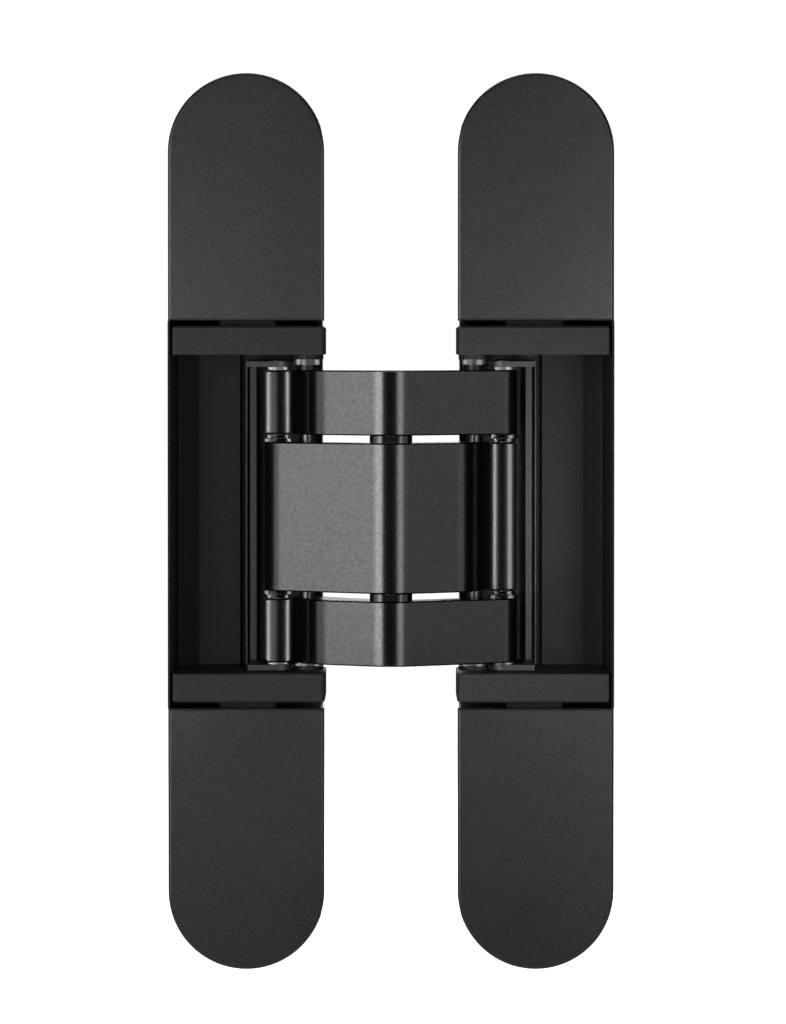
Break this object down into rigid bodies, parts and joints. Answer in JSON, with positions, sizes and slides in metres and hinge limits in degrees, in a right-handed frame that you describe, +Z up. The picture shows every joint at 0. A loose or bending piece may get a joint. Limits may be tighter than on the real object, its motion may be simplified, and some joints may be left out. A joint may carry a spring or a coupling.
{
  "type": "concealed door hinge",
  "caption": "Concealed mortise door hinge lying open: round-ended leaves with clip-on covers, joined by crossed arms on steel pins, all satin black.",
  "frame": {"origin": "centre of the hinge's box, on the mirror plane between the open leaves", "axes": "+X from the frame leaf to the door leaf, +Y into the door edge and frame, +Z up along the pins"},
  "size_m": [0.0796, 0.0297, 0.16],
  "materials": {
    "cast_body": "satin black paint on a zinc casting",
    "cast_carriage": "satin black paint on a zinc casting",
    "cover_plate": "fine satin black paint",
    "cast_arm": "satin black paint with a fine grain",
    "bracket_plate": "satin black paint on pressed steel",
    "sleeve_steel": "polished, blackened steel",
    "pin_steel": "ground steel",
    "bright_steel": "bright steel",
    "washer_steel": "polished, blackened steel",
    "screw_steel": "blackened steel",
    "glide_polymer": "black acetal"
  },
  "bodies": {
    "frame_leaf": {"frame_housing": "cast_body", "frame_carriage": "cast_carriage", "frame_guide_bracket": "bracket_plate", "frame_pivot_pin": "pin_steel", "frame_pivot_rings": "bright_steel", "frame_pivot_glides": "glide_polymer", "frame_clamp_screws": "screw_steel", "frame_upper_cover": "cover_plate", "frame_lower_cover": "cover_plate"},
    "outer_arms": {"upper_arm": "cast_arm", "lower_arm": "cast_arm", "centre_pin": "pin_steel", "centre_spacers": "washer_steel", "outer_arms_guide_pin": "pin_steel", "outer_arms_guide_washers": "washer_steel", "outer_arms_ear_washers": "bright_steel", "middle_sleeve": "sleeve_steel"},
    "middle_arm": {"middle_arm": "cast_arm", "middle_arm_guide_pin": "pin_steel", "middle_arm_guide_washers": "washer_steel", "middle_arm_ear_washers": "bright_steel", "upper_sleeve": "sleeve_steel", "lower_sleeve": "sleeve_steel"},
    "door_leaf": {"door_housing": "cast_body", "door_carriage": "cast_carriage", "door_guide_bracket": "bracket_plate", "door_pivot_pin": "pin_steel", "door_pivot_rings": "bright_steel", "door_pivot_glides": "glide_polymer", "door_clamp_screws": "screw_steel", "door_upper_cover": "cover_plate", "door_lower_cover": "cover_plate"}
  },
  "joints": [
    {"name": "frame_pivot", "type": "hinge", "parent": "frame_leaf", "child": "outer_arms", "pos_m": [-0.0151, -0.0002, 0], "axis": [0, 0, -1], "range_deg": [0, 94.5]},
    {"name": "centre_pivot", "type": "hinge", "parent": "outer_arms", "child": "middle_arm", "pos_m": [0, -0.0124, 0], "axis": [0, 0, -1], "range_deg": [-9, 0]},
    {"name": "door_pivot", "type": "hinge", "parent": "middle_arm", "child": "door_leaf", "pos_m": [0.0151, -0.0002, 0], "axis": [0, 0, -1], "range_deg": [0, 94.5]}
  ],
  "couplings": [
    {"joint": "centre_pivot", "follows": "frame_pivot", "ratio": -0.095238},
    {"joint": "door_pivot", "follows": "frame_pivot", "ratio": 1}
  ]
}
